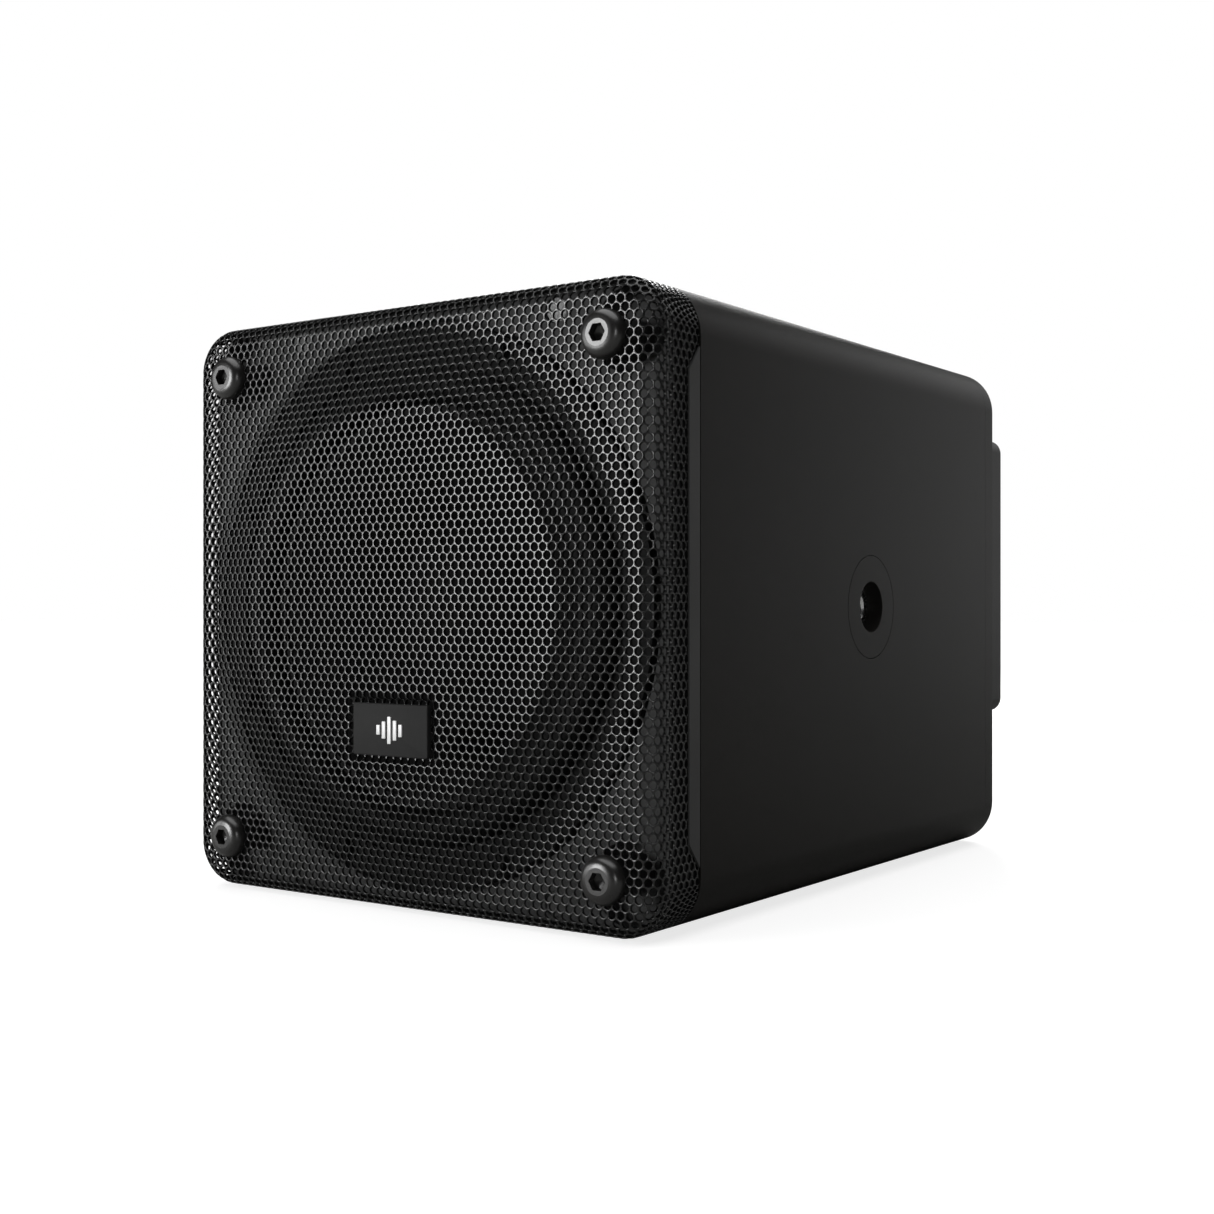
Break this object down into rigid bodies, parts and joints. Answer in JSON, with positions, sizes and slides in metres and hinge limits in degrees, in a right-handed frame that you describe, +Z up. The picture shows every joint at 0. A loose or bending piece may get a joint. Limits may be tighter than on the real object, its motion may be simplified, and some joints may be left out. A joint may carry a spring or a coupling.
{
  "type": "powered subwoofer",
  "caption": "Compact black powered subwoofer: square round-edged tube cabinet, dished perforated front grille, threaded side inserts and a finned amplifier on the back.",
  "frame": {"origin": "under the middle of the whole object, on the plane of the flat base", "axes": "+X right, +Y towards the back, +Z up; the grille faces -Y"},
  "size_m": [0.25, 0.3574, 0.25],
  "materials": {
    "cabinet_paint": "matte black powder coat",
    "grille_paint": "satin black powder coat on steel",
    "baffle": "moulded, fine texture",
    "black_steel": "satin black oxide",
    "steel": "zinc plated",
    "badge": "satin",
    "emblem": "bright",
    "basket": "black coated casting",
    "rubber": "soft",
    "paper_cone": "coated fibre",
    "former": "polyimide",
    "copper": "enamelled wire",
    "spider_cloth": "treated cotton",
    "ferrite": "sintered",
    "plated_iron": "zinc plated",
    "brass": "turned",
    "birch": "raw plywood",
    "felt": "polyester felt",
    "wire": "insulated",
    "sink_black": "black anodised",
    "bare_aluminium": "milled",
    "circuit_board": "solder mask",
    "capacitor": "sleeved",
    "ferrite_core": "taped",
    "black_plastic": "moulded",
    "white_plastic": "moulded",
    "led": "tinted clear"
  },
  "bodies": {
    "cabinet": {"cabinet_shell": "cabinet_paint", "front_baffle": "baffle", "rear_panel": "cabinet_paint", "cabinet_brace": "birch", "damping_lining": "felt", "side_insert_left": "cabinet_paint", "side_insert_right": "cabinet_paint", "threaded_bush_left": "steel", "threaded_bush_right": "steel", "grille": "grille_paint", "grille_screws": "black_steel", "grille_spacers": "black_plastic", "screw_inserts": "brass", "baffle_screws": "black_steel", "badge_plate": "badge", "badge_emblem": "emblem", "driver_basket": "basket", "driver_gasket": "rubber", "driver_screws": "black_steel", "surround": "rubber", "spider": "spider_cloth", "top_plate": "plated_iron", "ring_magnet": "ferrite", "pole_yoke": "plated_iron", "magnet_cover": "rubber", "driver_terminals": "brass", "speaker_wires": "wire", "rear_panel_screws": "black_steel", "heat_sink": "sink_black", "sink_gasket": "rubber", "sink_screws": "black_steel", "heat_spreader": "bare_aluminium", "amplifier_board": "circuit_board", "power_supply_board": "circuit_board", "board_standoffs": "brass", "capacitors": "capacitor", "power_transformer": "ferrite_core", "output_coils": "copper", "control_plate": "black_steel", "control_plate_screws": "black_steel", "input_socket": "black_plastic", "link_socket": "black_plastic", "socket_screws": "black_steel", "potentiometers": "steel", "phase_switch_body": "steel", "rocker_frame": "black_plastic", "mains_inlet": "black_plastic", "mains_blades": "steel", "status_led": "led"},
    "moving_cone": {"cone": "paper_cone", "dust_cap": "paper_cone", "voice_coil_former": "former", "voice_coil": "copper"},
    "gain_control": {"gain_shaft": "steel", "gain_knob": "black_plastic"},
    "crossover_control": {"crossover_shaft": "steel", "crossover_knob": "black_plastic"},
    "phase_lever": {"phase_switch_lever": "white_plastic"},
    "rocker": {"power_rocker": "black_plastic"},
    "latch": {"input_latch": "steel"}
  },
  "joints": [
    {"name": "cone_stroke", "type": "slide", "parent": "cabinet", "child": "moving_cone", "axis": [0, -1, 0], "range_m": [-0.008, 0.008], "stiffness_N_per_m": 2000, "deforming": ["surround", "spider"]},
    {"name": "gain_turn", "type": "hinge", "parent": "cabinet", "child": "gain_control", "pos_m": [-0.032, 0.155, 0.041], "axis": [0, -1, 0], "range_deg": [-150, 150]},
    {"name": "crossover_turn", "type": "hinge", "parent": "cabinet", "child": "crossover_control", "pos_m": [-0.009, 0.155, 0.041], "axis": [0, -1, 0], "range_deg": [-150, 150]},
    {"name": "phase_slide", "type": "slide", "parent": "cabinet", "child": "phase_lever", "axis": [1, 0, 0], "range_m": [0, 0.004]},
    {"name": "rocker_tilt", "type": "hinge", "parent": "cabinet", "child": "rocker", "pos_m": [0.033, 0.15285, 0.041], "axis": [1, 0, 0], "range_deg": [-16, 0]},
    {"name": "latch_push", "type": "slide", "parent": "cabinet", "child": "latch", "axis": [0, -1, 0], "range_m": [0, 0.002], "stiffness_N_per_m": 400}
  ]
}
